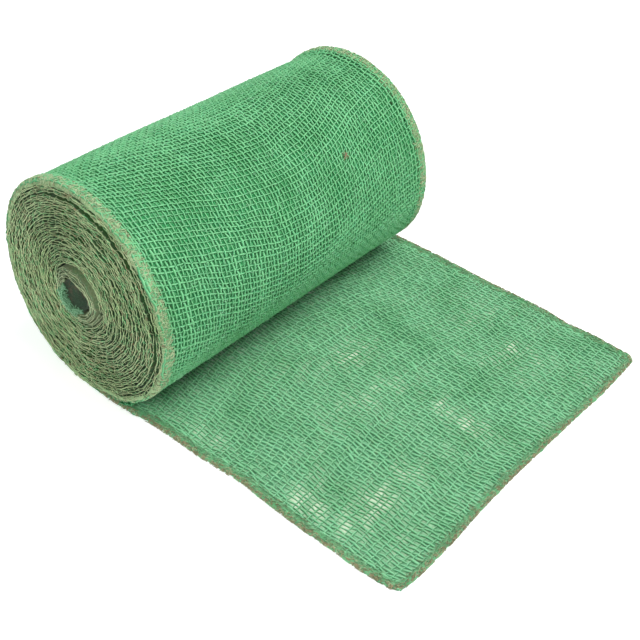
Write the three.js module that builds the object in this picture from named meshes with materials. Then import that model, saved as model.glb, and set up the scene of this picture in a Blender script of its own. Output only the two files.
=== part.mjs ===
// Roll of jute netting: one hemmed strip of open plain weave, wound without a core tube,
// with its loose end laid out flat in front.
// Millimetres. X runs along the axis of the roll, the loose end runs towards -Y, +Z is up.
import * as THREE from "three";

// The strip
const clothThickness = 1.4;
const hemThickness = 2.2;
const hemWidth = 6;
const turnThickness = 1.9; // what one turn adds to the radius, in the loose middle of the strip
const hemTurnThickness = 2.4; // the same at the hems, where the cloth is doubled
const pieceGap = 0.35;

// The wound roll
const rollPoints = 72; // points round the roll
const rollTall = 1.02; // the wound section stands a little taller than it is wide
const rollWide = 0.98;
const rollAxisY = -0.8;
const flatDepth = 1.0; // how far the roll has settled into its flat spot
const windStartDeg = 270.6; // the outer turn leaves the floor just behind the lowest line
const surfaceWave = 0.3;
const leftFace = -101.3;
const rightFace = 87.2;
// radius of the outer turn along the roll: hems stand proud, the right end is wound tighter
const rollSections = [
  { x: leftFace, radius: 56.5 },
  { x: -100.4, radius: 57.0 },
  { x: -95.3, radius: 57.0 },
  { x: -94.0, radius: 56.5 },
  { x: -72, radius: 56.2 },
  { x: -44, radius: 55.9 },
  { x: -14, radius: 55.5 },
  { x: 16, radius: 55.1 },
  { x: 46, radius: 54.8 },
  { x: 70, radius: 54.5 },
  { x: 79.6, radius: 54.3 },
  { x: 81.0, radius: 55.2 },
  { x: 86.2, radius: 55.3 },
  { x: rightFace, radius: 54.8 },
];

// The hollow down the middle, where the strip was started round nothing
const hollowY = 3.6;
const hollowZ = 56.0;
const hollowWide = 7.4;
const hollowTall = 8.2;
const hollowLobe = 0.7;
const hollowSections = 7;

// Relief of the end faces, from the hollow outwards: how far each ring stands out of the face
// over the open side of the roll (loose) and over the rest (firm)
const endRings = [
  { radius: 9.6, firm: 1.6, loose: 1.8 },
  { radius: 13.4, firm: 1.4, loose: 1.2 },
  { radius: 14.6, firm: 0.2, loose: -3.4 },
  { radius: 17.0, firm: 0.2, loose: -2.6 },
  { radius: 18.4, firm: 0.4, loose: 0.6 },
  { radius: 31.0, firm: 0.1, loose: 0.5 },
  { radius: 44.5, firm: 0.2, loose: -0.2 },
  { radius: 48.6, firm: 0.1, loose: 0.5 },
  { radius: 50.4, firm: 0.0, loose: -3.2 },
  { radius: 51.8, firm: 0.1, loose: -1.8 },
  { radius: 53.4, firm: 0.1, loose: 0.4 },
];
const nearRim = 55.6; // ring radii are given for this rim and follow the real one
const looseMiddleDeg = 130; // middle of the side where turns stand apart
const looseHalfDeg = 95;
const rightEndShare = 0.6; // the hidden end is wound more evenly
const faceWave = 0.4;

// The loose end
const looseStart = -5.7; // under the roll, just clear of its outer turn
const creaseHeight = 1.6;
const creaseWidth = 9;
const creaseTop = { x: 47, y: -30 };
const creaseFoot = { x: 29, y: -116 };
// where the two selvages and the cut run: the cut's y is read against x
const selvages = [
  { y: looseStart, left: -101.8, right: 99.6 },
  { y: -12, left: -102.2, right: 99.4 },
  { y: -26, left: -101.8, right: 99.0 },
  { y: -40, left: -100.3, right: 99.6 },
  { y: -56, left: -100.0, right: 100.1 },
  { y: -72, left: -100.2, right: 99.9 },
  { y: -88, left: -99.3, right: 99.7 },
  { y: -101, left: -98.8, right: 99.9 },
  { y: -112, left: -99.8, right: 100.4 },
  { y: -128, left: -100.6, right: 100.4 },
  { y: -142, left: -100.8, right: 98.9 },
  { y: -158, left: -100.6, right: 100.1 },
  { y: -172, left: -101.1, right: 99.4 },
  { y: -196, left: -99.0, right: 99.4 },
];
const cutLine = [
  { x: -101, y: -192.6 },
  { x: -84, y: -193.4 },
  { x: -62, y: -192.3 },
  { x: -36, y: -189.8 },
  { x: -8, y: -188.2 },
  { x: 30, y: -187.4 },
  { x: 68, y: -187.0 },
  { x: 100, y: -184.8 },
];
const looseColumns = 15;
const looseRows = 19;

function alongTable(table, key, value, at) {
  const rising = table[table.length - 1][key] > table[0][key];
  const rows = rising ? table : [...table].reverse();
  if (at <= rows[0][key]) return rows[0][value];
  for (let i = 1; i < rows.length; i++) {
    if (at <= rows[i][key]) {
      const t = (at - rows[i - 1][key]) / (rows[i][key] - rows[i - 1][key]);
      return rows[i - 1][value] + t * (rows[i][value] - rows[i - 1][value]);
    }
  }
  return rows[rows.length - 1][value];
}

function smooth(t) {
  const c = Math.min(1, Math.max(0, t));
  return c * c * (3 - 2 * c);
}

const rad = (deg) => (deg * Math.PI) / 180;

// Loose end: how far the cloth lifts off the floor, how thick it is, and its top
function looseLift(x, y) {
  const dx = creaseFoot.x - creaseTop.x;
  const dy = creaseFoot.y - creaseTop.y;
  const length = Math.hypot(dx, dy);
  const along = ((x - creaseTop.x) * dx + (y - creaseTop.y) * dy) / length;
  const across = ((x - creaseTop.x) * dy - (y - creaseTop.y) * dx) / length;
  const ends = smooth(along / 18 + 0.6) * smooth((length - along) / 40 + 0.5);
  const lift = creaseHeight * ends * Math.exp(-((across / creaseWidth) ** 2));
  return lift < 0.1 ? 0 : lift;
}

function looseThickness(x, y) {
  const fromSide = Math.min(
    x - alongTable(selvages, "y", "left", y),
    alongTable(selvages, "y", "right", y) - x,
  );
  const fromCut = y - alongTable(cutLine, "x", "y", x);
  const hem = 1 - smooth((Math.min(fromSide, fromCut) - hemWidth + 0.6) / 1.2);
  return clothThickness + (hemThickness - clothThickness) * hem;
}

const looseTop = (x, y) => looseLift(x, y) + looseThickness(x, y);

// One point of the roll's outer turn; it spirals in by a turn's thickness on its way round
function rollPoint(x, j) {
  const radius = alongTable(rollSections, "x", "radius", x);
  const around = j / rollPoints;
  const angle = rad(windStartDeg + 360 * around);
  const inHem = x < leftFace + hemWidth || x > rightFace - hemWidth;
  const turn = inHem ? hemTurnThickness : turnThickness;
  const wave = surfaceWave * (Math.sin(3 * angle + x / 41) + 0.7 * Math.sin(5 * angle - x / 24));
  const r = radius + turn * (0.5 - around) + wave;
  const axisZ = radius * rollTall - flatDepth;
  const y = rollAxisY + r * rollWide * Math.cos(angle);
  let z = axisZ + r * rollTall * Math.sin(angle);
  const front = around > 0.5 && Math.sin(angle) < 0;
  const floor = front ? looseTop(x, Math.min(y, looseStart - 0.1)) + pieceGap : 0;
  z = Math.max(z, floor);
  return [x, y, z];
}

function hollowPoint(x, j) {
  const angle = rad(windStartDeg + (360 * j) / rollPoints);
  const lobe = hollowLobe * Math.sin(2 * angle + 0.9) + 0.5 * hollowLobe * Math.sin(3 * angle - 0.4);
  return [
    x,
    hollowY + (hollowWide + lobe) * Math.cos(angle),
    hollowZ + (hollowTall + lobe) * Math.sin(angle),
  ];
}

// A point of a ring on an end face; side is -1 on the left and 1 on the right
function facePoint(ring, j, side) {
  const faceX = side < 0 ? leftFace : rightFace;
  const rim = rollPoint(faceX, j);
  const hole = hollowPoint(faceX, j);
  const angle = windStartDeg + (360 * j) / rollPoints;
  const turnFrom = Math.abs(((angle - looseMiddleDeg + 540) % 360) - 180);
  const open = smooth((looseHalfDeg - turnFrom) / 30) * (side < 0 ? 1 : rightEndShare);
  const t = (ring.radius - hollowWide) / (nearRim - hollowWide);
  const out = ring.firm + (ring.loose - ring.firm) * open + faceWave * Math.sin(rad(angle * 3) + ring.radius / 4);
  return [
    faceX + side * out,
    hole[1] + (rim[1] - hole[1]) * t,
    hole[2] + (rim[2] - hole[2]) * t,
  ];
}

// Closed solid from loops of equal length that run round a torus of loops
function loopsToGeometry(loops) {
  const count = loops[0].length;
  const points = loops.flat(2);
  const index = [];
  for (let i = 0; i < loops.length; i++) {
    const a = i * count;
    const b = ((i + 1) % loops.length) * count;
    for (let j = 0; j < count; j++) {
      const k = (j + 1) % count;
      index.push(a + j, b + k, b + j, a + j, a + k, b + k);
    }
  }
  const geometry = new THREE.BufferGeometry();
  geometry.setAttribute("position", new THREE.Float32BufferAttribute(points, 3));
  geometry.setIndex(index);
  return geometry;
}

function woundRollGeometry() {
  const loop = (make) => Array.from({ length: rollPoints }, (_, j) => make(j));
  const loops = [];
  for (const section of rollSections) loops.push(loop((j) => rollPoint(section.x, j)));
  for (const ring of [...endRings].reverse()) loops.push(loop((j) => facePoint(ring, j, 1)));
  for (let i = hollowSections - 1; i >= 0; i--) {
    const x = leftFace + ((rightFace - leftFace) * i) / (hollowSections - 1);
    loops.push(loop((j) => hollowPoint(x, j)));
  }
  for (const ring of endRings) loops.push(loop((j) => facePoint(ring, j, -1)));
  return loopsToGeometry(loops);
}

// Columns run from selvage to selvage, with one at the inner side of each hem
function looseEndGeometry() {
  const across = [0, hemWidth / 2, hemWidth, hemWidth + 1.4];
  const middle = looseColumns;
  const fractions = [];
  const nominal = 200;
  for (const a of across) fractions.push(a / nominal);
  for (let i = 1; i < middle; i++) fractions.push((across[3] + ((nominal - 2 * across[3]) * i) / middle) / nominal);
  for (const a of [...across].reverse()) fractions.push(1 - a / nominal);
  const rows = [];
  for (let r = 0; r < looseRows; r++) rows.push(r / (looseRows - 1));
  const top = [];
  const bottom = [];
  for (const f of fractions) {
    const xNominal = -100 + nominal * f;
    const cutY = alongTable(cutLine, "x", "y", xNominal);
    const inner = cutY + hemWidth + 1.4;
    const ys = [...rows.map((t) => looseStart + (inner - looseStart) * t), cutY + hemWidth, cutY + hemWidth / 2, cutY];
    const topColumn = [];
    const bottomColumn = [];
    for (const y of ys) {
      const left = alongTable(selvages, "y", "left", y);
      const right = alongTable(selvages, "y", "right", y);
      const x = left + (right - left) * f;
      topColumn.push([x, y, looseTop(x, Math.max(y, cutY))]);
      bottomColumn.push([x, y, looseLift(x, y)]);
    }
    top.push(topColumn);
    bottom.push(bottomColumn);
  }
  const points = [...top.flat(), ...bottom.flat()].flat();
  const columns = fractions.length;
  const count = top[0].length;
  const half = columns * count;
  const index = [];
  const quad = (a, b, c, d) => index.push(a, b, c, a, c, d);
  for (let i = 0; i < columns - 1; i++) {
    for (let j = 0; j < count - 1; j++) {
      const a = i * count + j;
      quad(a, a + 1, a + count + 1, a + count);
      quad(half + a, half + a + count, half + a + count + 1, half + a + 1);
    }
  }
  for (let i = 0; i < columns - 1; i++) {
    const start = i * count;
    const end = start + count - 1;
    quad(start, start + count, half + start + count, half + start);
    quad(end, half + end, half + end + count, end + count);
  }
  for (let j = 0; j < count - 1; j++) {
    const right = (columns - 1) * count + j;
    quad(j, half + j, half + j + 1, j + 1);
    quad(right, right + 1, half + right + 1, half + right);
  }
  const geometry = new THREE.BufferGeometry();
  geometry.setAttribute("position", new THREE.Float32BufferAttribute(points, 3));
  geometry.setIndex(index);
  return geometry;
}

const netting = new THREE.MeshStandardMaterial({ name: "green_netting", color: new THREE.Color(0.16, 0.5, 0.24), roughness: 0.95, metalness: 0 });
const part = new THREE.Group();
part.name = "roll of jute netting";

function addPiece(name, geometry) {
  geometry.computeVertexNormals();
  const mesh = new THREE.Mesh(geometry, netting);
  mesh.name = name;
  part.add(mesh);
  return mesh;
}

addPiece("wound_roll", woundRollGeometry());
addPiece("loose_end", looseEndGeometry());

// The origin is under the middle of the whole thing, on the floor
const box = new THREE.Box3().setFromObject(part);
const shiftX = -(box.min.x + box.max.x) / 2;
const shiftY = -(box.min.y + box.max.y) / 2;
for (const mesh of part.children) mesh.geometry.translate(shiftX, shiftY, 0);

export default part;
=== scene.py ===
import math
from functools import partial
import bpy
import numpy as np
from mathutils import Matrix, Vector


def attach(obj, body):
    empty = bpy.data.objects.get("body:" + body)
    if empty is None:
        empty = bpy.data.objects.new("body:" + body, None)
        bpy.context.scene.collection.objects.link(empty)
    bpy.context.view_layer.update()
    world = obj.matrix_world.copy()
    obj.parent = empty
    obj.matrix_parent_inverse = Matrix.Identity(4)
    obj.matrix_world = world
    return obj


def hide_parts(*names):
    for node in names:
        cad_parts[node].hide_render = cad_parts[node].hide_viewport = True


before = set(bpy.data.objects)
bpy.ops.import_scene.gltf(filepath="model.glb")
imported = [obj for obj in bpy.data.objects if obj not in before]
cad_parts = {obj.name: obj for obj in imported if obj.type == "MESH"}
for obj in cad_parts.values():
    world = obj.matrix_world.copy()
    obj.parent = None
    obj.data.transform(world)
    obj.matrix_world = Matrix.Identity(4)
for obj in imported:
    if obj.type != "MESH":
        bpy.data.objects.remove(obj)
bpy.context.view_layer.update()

shiftX, shiftY = 1.549, 68.973  # mm, from the roll's own axis to the middle of the whole part
toMetres = 0.001

# The roll as it is wound, in mm; x runs along its axis
rollShape = {
    "x": [-101.3, -100.4, -95.3, -94.0, -72, -44, -14, 16, 46, 70, 77.5, 82.5, 86.2, 87.2],
    "radius": [57.4, 57.9, 57.9, 57.4, 57.1, 56.8, 56.4, 55.9, 55.4, 54.8, 54.5, 55.3, 55.4, 54.9],
    "leftFace": -101.3,
    "rightFace": 87.2,
    "axisY": -0.8,
    "tall": 1.02,
    "wide": 0.98,
    "flatDepth": 1.0,
    "windStart": 270.6,  # degrees, where the outer turn leaves the floor
    "turn": 1.9,  # what one turn adds to the radius, and the same in the hems
    "hemTurn": 2.4,
    "hemWidth": 6.0,
    "wave": 0.3,
    "gap": 0.35,
    "turnLength": 352.0,  # of cloth in the outer turn
}
hollowShape = {"y": 3.6, "z": 56.0, "wide": 7.4, "tall": 8.2, "lobe": 0.7}

# The loose end: selvages read along y, cut read along x
looseShape = {
    "y": [-196, -172, -158, -142, -128, -112, -101, -88, -72, -56, -40, -26, -12, -5.7, 6],
    "left": [-98.2, -100.2, -99.7, -99.9, -99.6, -98.8, -97.9, -98.4, -99.3, -99.1, -99.5,
             -101.0, -101.6, -101.4, -101.4],
    "right": [99.4, 99.4, 100.1, 98.9, 100.4, 100.4, 99.9, 99.7, 99.9, 100.1, 99.6, 99.0, 99.4,
              99.6, 99.6],
    "cutX": [-101, -84, -62, -36, -8, 30, 68, 100],
    "cutY": [-191.6, -192.3, -191.2, -188.7, -187.1, -186.3, -185.9, -183.7],
    "cloth": 1.4,
    "nap": 0.1,
    "hem": 2.2,
    "hemWidth": 6.0,
    "start": -3.0,
    "creaseHeight": 1.6,
    "creaseWidth": 9.0,
    "creaseTop": (47, -30),
    "creaseFoot": (29, -116),
}

# How the weft bows across the strip: how far it runs ahead towards the roll, in mm
weftBow = {
    "x": [-104, -95, -70, -40, -22, -5, 12, 30, 45, 60, 78, 95, 104],
    "ahead": [-3, 0, 8.4, 18.6, 23.2, 24.6, 23.2, 18.0, 12.2, 6.6, 3.0, 1.4, 1.2],
    "middle": 12.0,
}


def smooth(t):
    c = np.clip(t, 0, 1)
    return c * c * (3 - 2 * c)


def unit(vectors, least=0):
    return vectors / (np.linalg.norm(vectors, axis=-1, keepdims=True) + least)


def runningSum(steps):
    return np.concatenate([[0], np.cumsum(steps)])


def softNoise(u, v, size, seed):
    # a few plane waves of about the given size, from about -1 to 1
    rng = np.random.default_rng(seed)
    total = 0
    for _ in range(7):
        turn, phase = rng.uniform(0, 2 * np.pi, 2)
        k = 2 * np.pi / (size * rng.uniform(0.7, 1.6))
        total = total + np.sin(k * (u * np.cos(turn) + v * np.sin(turn)) + phase)
    return total / 2.6


faces = {-1: rollShape["leftFace"], 1: rollShape["rightFace"]}


def rollRadius(x):
    return np.interp(x, rollShape["x"], rollShape["radius"])


def rollWave(x, angle):
    return rollShape["wave"] * (np.sin(3 * angle + x / 41) + 0.7 * np.sin(5 * angle - x / 24))


def windAngle(turns):
    return np.radians(rollShape["windStart"] + 360 * turns)


def bowAhead(x):
    return np.interp(x, weftBow["x"], weftBow["ahead"])


def looseLift(x, y):
    top, foot = looseShape["creaseTop"], looseShape["creaseFoot"]
    dx, dy = foot[0] - top[0], foot[1] - top[1]
    length = math.hypot(dx, dy)
    along = ((x - top[0]) * dx + (y - top[1]) * dy) / length
    across = ((x - top[0]) * dy - (y - top[1]) * dx) / length
    ends = smooth(along / 18 + 0.6) * smooth((length - along) / 40 + 0.5)
    return looseShape["creaseHeight"] * ends * np.exp(-((across / looseShape["creaseWidth"]) ** 2))


def selvageX(y):
    return (np.interp(y, looseShape["y"], looseShape["left"]),
            np.interp(y, looseShape["y"], looseShape["right"]))


def cutY(x):
    return np.interp(x, looseShape["cutX"], looseShape["cutY"])


def rollSurface(x, s, inset):
    # s is the way along the strip from where the outer turn leaves the floor
    around = s / rollShape["turnLength"]
    angle = windAngle(around)
    radius, wide, tall = rollRadius(x), rollShape["wide"], rollShape["tall"]
    fromEnd = np.minimum(x - faces[-1], faces[1] - x)
    inHem = 1 - smooth((fromEnd - rollShape["hemWidth"] + 1) / 3)
    turn = rollShape["turn"] + (rollShape["hemTurn"] - rollShape["turn"]) * inHem
    r = radius + turn * (0.5 - around) + rollWave(x, angle)
    ny, nz = np.cos(angle) / wide, np.sin(angle) / tall
    n = np.hypot(ny, nz)
    ny, nz = ny / n, nz / n
    y = rollShape["axisY"] + r * wide * np.cos(angle) - ny * inset
    z = radius * tall - rollShape["flatDepth"] + r * tall * np.sin(angle) - nz * inset
    # low on the front, the outer turn stands on the loose end's hem
    front = (around > 0.5) & (np.sin(angle) < 0)
    z = np.maximum(z, np.where(front, looseShape["hem"] + rollShape["gap"], 0) + inset)
    x = np.broadcast_to(x, z.shape)
    return np.stack([x, y, z], -1), np.stack([x * 0, ny, nz], -1)


def looseSurface(x, y, inset):
    lift = looseLift(x, y)
    slopeX = looseLift(x + 0.5, y) - looseLift(x - 0.5, y)
    slopeY = looseLift(x, y + 0.5) - looseLift(x, y - 0.5)
    normal = unit(np.stack([-slopeX, -slopeY, np.ones_like(lift)], -1))
    return np.stack([x, y, lift + looseShape["cloth"] + looseShape["nap"] - inset], -1), normal


def hollowLoop(angle):
    lobe = hollowShape["lobe"] * (np.sin(2 * angle + 0.9) + 0.5 * np.sin(3 * angle - 0.4))
    return (hollowShape["y"] + (hollowShape["wide"] + lobe) * np.cos(angle),
            hollowShape["z"] + (hollowShape["tall"] + lobe) * np.sin(angle))


# Mesh making: a mesh is its points, its quads and the map coordinates of each quad's corners
cornerOrder = {"out": [0, 1, 2, 3], "in": [3, 2, 1, 0], "turned": [0, 3, 2, 1]}
yarnSides = 3


def newObject(name, data):
    obj = bpy.data.objects.new(name, data)
    bpy.context.collection.objects.link(obj)
    return obj


def meshObject(name, mesh):
    points, quads, uv = mesh
    points = (np.asarray(points, float).reshape(-1, 3) + (shiftX, shiftY, 0)) * toMetres
    quads = np.asarray(quads, np.int32).reshape(-1, 4)  # a triangle has -1 as its fourth corner
    used = quads >= 0
    sizes = used.sum(1)
    data = bpy.data.meshes.new(name)
    data.vertices.add(len(points))
    data.vertices.foreach_set("co", points.ravel())
    data.loops.add(int(sizes.sum()))
    data.loops.foreach_set("vertex_index", quads[used])
    data.polygons.add(len(quads))
    data.polygons.foreach_set("loop_start", runningSum(sizes)[:-1].astype(np.int32))
    layer = data.uv_layers.new(name="UVMap")
    layer.data.foreach_set("uv", np.asarray(uv, np.float32).reshape(-1, 4, 2)[used].ravel())
    data.update(calc_edges=True)
    data.polygons.foreach_set("use_smooth", np.ones(len(quads), bool))
    return newObject(name, data)


def addPiece(name, mesh, replaced, finishName, otherFinish=None, isOther=None):
    # the faces marked in isOther have the other finish
    obj = meshObject(name, mesh)
    obj.data.materials.append(materials[finishName])
    if otherFinish:
        obj.data.materials.append(materials[otherFinish])
        obj.data.polygons.foreach_set("material_index", isOther.astype(np.int32))
    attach(obj, "root")
    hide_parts(replaced)
    return obj


def joinParts(parts):
    # each part is a mesh with its quads numbered from 0
    points, quads, uvs, start = [], [], [], 0
    for p, q, uv in parts:
        points.append(p)
        quads.append(np.where(q >= 0, q + start, -1))
        uvs.append(uv)
        start += len(p)
    return np.concatenate(points), np.concatenate(quads), np.concatenate(uvs)


def tubes(points, normals, width, height, seed, capped=True):
    # many yarns at once: points and normals are (yarns, steps, 3), width and height (yarns, steps)
    count, steps = points.shape[:2]
    along = unit(np.gradient(points, axis=1), 1e-9)
    side = unit(np.cross(along, normals), 1e-9)
    up = np.cross(side, along)
    halfWide, halfHigh = (np.broadcast_to(size, (count, steps)) / 2 for size in (width, height))
    rings = []
    for q in range(yarnSides):  # the first corner is the yarn's ridge
        phi = np.pi / 2 + 2 * np.pi * q / yarnSides
        rings.append(points + side * (halfWide * math.cos(phi))[..., None]
                     + up * (halfHigh * math.sin(phi))[..., None])
    index = np.arange(count * steps * yarnSides).reshape(count, steps, yarnSides)
    a, b = index[:, :-1], index[:, 1:]
    quads = np.stack([a, np.roll(a, -1, 2), np.roll(b, -1, 2), b], -1).reshape(-1, 4)
    length = np.cumsum(np.linalg.norm(np.diff(points, axis=1), axis=-1), 1)
    u = np.pad(length, ((0, 0), (1, 0))) + np.random.default_rng(seed).uniform(0, 400, (count, 1))
    u0, u1 = (np.broadcast_to(end[..., None], a.shape) for end in (u[:, :-1], u[:, 1:]))
    v0 = np.broadcast_to(0.25 + np.arange(yarnSides) / yarnSides, a.shape)
    v1 = v0 + 1 / yarnSides
    uv = np.stack([u0, v0, u0, v1, u1, v1, u1, v0], -1).reshape(-1, 2)
    if capped:
        caps = np.concatenate([index[:, 0, ::-1], index[:, -1]])
        caps = np.concatenate([caps, np.full((len(caps), 4 - yarnSides), -1)], 1)
        quads = np.concatenate([quads, caps])
        uv = np.concatenate([uv, np.broadcast_to((u[0, 0], 0.5), (4 * len(caps), 2))])
    return np.stack(rings, 2).reshape(-1, 3), quads, uv


def gridMesh(rows, u, v, order="out"):
    # rows of points joined by quads; where u and v have one more row or column, the grid closes
    index = np.arange(rows.shape[0] * rows.shape[1]).reshape(rows.shape[:2])
    index = np.pad(index, [(0, more - own) for more, own in zip(u.shape, index.shape)], "wrap")
    quads, uv = (np.stack([a[:-1, :-1], a[1:, :-1], a[1:, 1:], a[:-1, 1:]], 2)
                 for a in (index, np.stack([u, v], -1)))
    corners = cornerOrder[order]
    return rows, quads.reshape(-1, 4)[:, corners], uv.reshape(-1, 4, 2)[:, corners]


# Shader node groups
def newGroup(name, inputs, outputs):
    # an input without a value is a vector, one with four numbers a colour
    group = bpy.data.node_groups.new(name, "ShaderNodeTree")
    for socket, value in inputs.items():
        kind = "Vector" if value is None else "Color" if isinstance(value, tuple) else "Float"
        made = group.interface.new_socket(name=socket, in_out="INPUT", socket_type="NodeSocket" + kind)
        if value is not None:
            made.default_value = value
    for socket, kind in outputs.items():
        group.interface.new_socket(name=socket, in_out="OUTPUT", socket_type="NodeSocket" + kind)
    return group, group.nodes.new("NodeGroupInput"), group.nodes.new("NodeGroupOutput")


def feed(tree, value, socket):
    # a socket gets a fixed value or another node's output
    if hasattr(value, "is_linked"):
        tree.links.new(value, socket)
    else:
        socket.default_value = value


def newNode(tree, kind, inputs, **settings):
    node = tree.nodes.new("ShaderNode" + kind)
    for key, value in settings.items():
        setattr(node, key, value)
    for key, value in inputs.items():
        feed(tree, value, node.inputs[key])
    return node


def mixColour(tree, factor, a, b, blend="MIX"):
    return newNode(tree, "Mix", {0: factor, 6: a, 7: b}, data_type="RGBA", blend_type=blend).outputs[2]


def mathNode(tree, operation, a, b=0.0, c=0.0, clamp=False):
    return newNode(tree, "Math", {0: a, 1: b, 2: c}, operation=operation, use_clamp=clamp).outputs[0]


def rampNode(tree, value, low, high):
    return newNode(tree, "MapRange", {"Value": value, "From Min": low, "From Max": high},
                   clamp=True).outputs["Result"]


def noiseNode(tree, vector, stretch, detail, roughness, scale=1.0):
    if stretch:
        vector = newNode(tree, "VectorMath", {0: vector, 1: stretch}, operation="MULTIPLY").outputs[0]
    return newNode(tree, "TexNoise", {"Vector": vector, "Scale": scale, "Detail": detail,
                                      "Roughness": roughness}).outputs["Fac"]


# Streaks in a yarn: how often they come along and across it, how detailed and how rough they are,
# and between which values of the noise they fade in
juteStreaks = {
    "fibre": ((1.3, 9.0, 0), 4, 0.65),
    "hair": ((4.0, 22.0, 0), 3, 0.7),
    "yarn": ((0.045, 0.0, 0), 1, 0.5),
    "speck": ((0.33, 1.1, 0), 2, 0.6),
    "fleck": ((0.21, 0.7, 3.0), 2, 0.6),
    "patch": (None, 2, 0.5, 38.0),  # by place, not along a yarn
}
juteFades = {"fibre": (0.33, 0.68), "hair": (0.52, 0.36), "yarn": (0.36, 0.64), "speck": (0.56, 0.68),
             "fleck": (0.5, 0.62), "patch": (0.42, 0.7)}
juteShares = {"hair": 0.55, "yarn": 0.42}


def juteFibreGroup():
    # fibre streaks along a yarn, slow changes of tone, flecks of other colours, painted shade on the
    # undersides and a painted highlight along the top ridge
    group, inside, outside = newGroup(
        "juteFibre",
        {"UV": None, "Place": None,
         **dict.fromkeys(("Light", "Middle", "Dark", "Speck", "Fleck"), (0.1, 0.4, 0.2, 1)),
         **dict.fromkeys(("Speck share", "Fleck share", "Patches", "Underside painted shade", "Ridge painted highlight"), 0.5)},
        {"Color": "Color", "Height": "Float"})
    given, uv = inside.outputs, inside.outputs["UV"]
    mix, ramp = partial(mixColour, group), partial(rampNode, group)
    times, timesPlus = partial(mathNode, group, "MULTIPLY"), partial(mathNode, group, "MULTIPLY_ADD")
    noise = {name: noiseNode(group, given["Place"] if name == "patch" else uv, *streak)
             for name, streak in juteStreaks.items()}
    mask = {name: ramp(noise[name], *fade) for name, fade in juteFades.items()}
    tone = mix(mask["fibre"], given["Middle"], given["Light"])
    tone = mix(times(mask["hair"], juteShares["hair"]), tone, given["Dark"])
    tone = mix(times(mask["yarn"], juteShares["yarn"]), tone, given["Middle"])
    tone = mix(times(mask["fleck"], given["Fleck share"]), tone, given["Fleck"])
    tone = mix(times(mask["speck"], given["Speck share"]), tone, given["Speck"])
    tone = mix(times(mask["patch"], given["Patches"]), tone, given["Middle"], "MULTIPLY")
    # round a yarn, v is 0.25 on top and 0.75 underneath; the dark colour is painted underneath as painted
    # shade, and the light colour along the top as a painted highlight
    v = newNode(group, "SeparateXYZ", {0: uv}).outputs["Y"]
    turned = timesPlus(v, 2 * math.pi, -math.pi / 2)
    paintedUnderShade = timesPlus(mathNode(group, "COSINE", turned), -0.5, 0.5)
    # painted shade: the dark colour on the yarn's underside
    tone = mix(times(paintedUnderShade, given["Underside painted shade"]), tone, given["Dark"])
    # painted highlight: the light colour along the yarn's top ridge
    ridge = times(ramp(paintedUnderShade, 0.22, 0.02), ramp(noise["hair"], 0.3, 0.6))
    tone = mix(times(ridge, given["Ridge painted highlight"]), tone, given["Light"])
    feed(group, tone, outside.inputs["Color"])
    feed(group, timesPlus(noise["hair"], 0.6, noise["fibre"]), outside.inputs["Height"])
    return group


def wovenLayerGroup():
    # over and under yarns of a plain weave, as a mask of the yarns and a height
    group, inside, outside = newGroup("wovenLayer", {"UV": None, "Pitch U": 2.0, "Pitch V": 3.0},
                                      {"Mask": "Float", "Height": "Float"})
    maths, uv = partial(mathNode, group), inside.outputs["UV"]
    split = newNode(group, "SeparateXYZ", {0: uv})
    waves, ridges = [], []
    for axis, pitch, drift in (("X", "Pitch U", 0.0), ("Y", "Pitch V", 5.0)):
        noise = noiseNode(group, uv, (0.07, 0.07, drift), 2, 0.5)
        wander = maths("MULTIPLY_ADD", noise, 5.0, split.outputs[axis])
        turn = maths("DIVIDE", wander, inside.outputs[pitch])
        waves.append(maths("COSINE", maths("MULTIPLY", turn, math.pi)))
        ridges.append(rampNode(group, maths("ABSOLUTE", waves[-1]), 0.55, 1.0))
    over = maths("MULTIPLY", waves[0], waves[1])
    heights = [maths("MULTIPLY", ridge, maths("MULTIPLY_ADD", over, rise, 0.65))
               for ridge, rise in zip(ridges, (0.35, -0.35))]
    height = maths("MAXIMUM", *heights)
    feed(group, height, outside.inputs["Height"])
    feed(group, rampNode(group, height, 0.05, 0.4), outside.inputs["Mask"])
    return group


bumpDepth = 0.0004  # m


def yarnMaterial(name, group, spec):
    material = bpy.data.materials.new(name)
    material.use_nodes = True
    tree = material.node_tree
    coords = newNode(tree, "TexCoord", {}).outputs
    fibre = newNode(tree, "Group", {}, node_tree=group)
    for key, value in {"UV": coords["UV"], "Place": coords["Object"], **spec["fibre"]}.items():
        feed(tree, value, fibre.inputs[key])
    bump = newNode(tree, "Bump", {"Strength": spec["bump"], "Distance": bumpDepth,
                                  "Height": fibre.outputs["Height"]})
    shader = {"Base Color": fibre.outputs["Color"], "Normal": bump.outputs["Normal"], "Roughness": 0.7,
              "Specular IOR Level": spec["shine"], "Sheen Weight": spec["sheen"], "Sheen Roughness": 0.6}
    for key, value in shader.items():
        feed(tree, value, tree.nodes["Principled BSDF"].inputs[key])
    return material


# Dyed jute in its lights and shades, with painted shade on yarn undersides and painted highlights on their
# ridges, and the straw-coloured thread of the overlocked hems
def finish(light, middle, dark, speck, speckShare, fleck, fleckShare, undersidePaintedShade,
           bump=0.7, sheen=0.1, patches=0.3, shine=0.5):
    colours = {"Light": light, "Middle": middle, "Dark": dark, "Speck": speck, "Fleck": fleck}
    fibre = {key: (*colour, 1) for key, colour in colours.items()}
    # the underside share darkens a yarn's underside as painted shade, and brings a painted highlight on its
    # ridge
    fibre.update({"Speck share": speckShare, "Fleck share": fleckShare, "Patches": patches,
                  "Underside painted shade": undersidePaintedShade, "Ridge painted highlight": 0.8 if undersidePaintedShade else 0.0})
    return {"fibre": fibre, "bump": bump, "sheen": sheen, "shine": shine}


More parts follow.
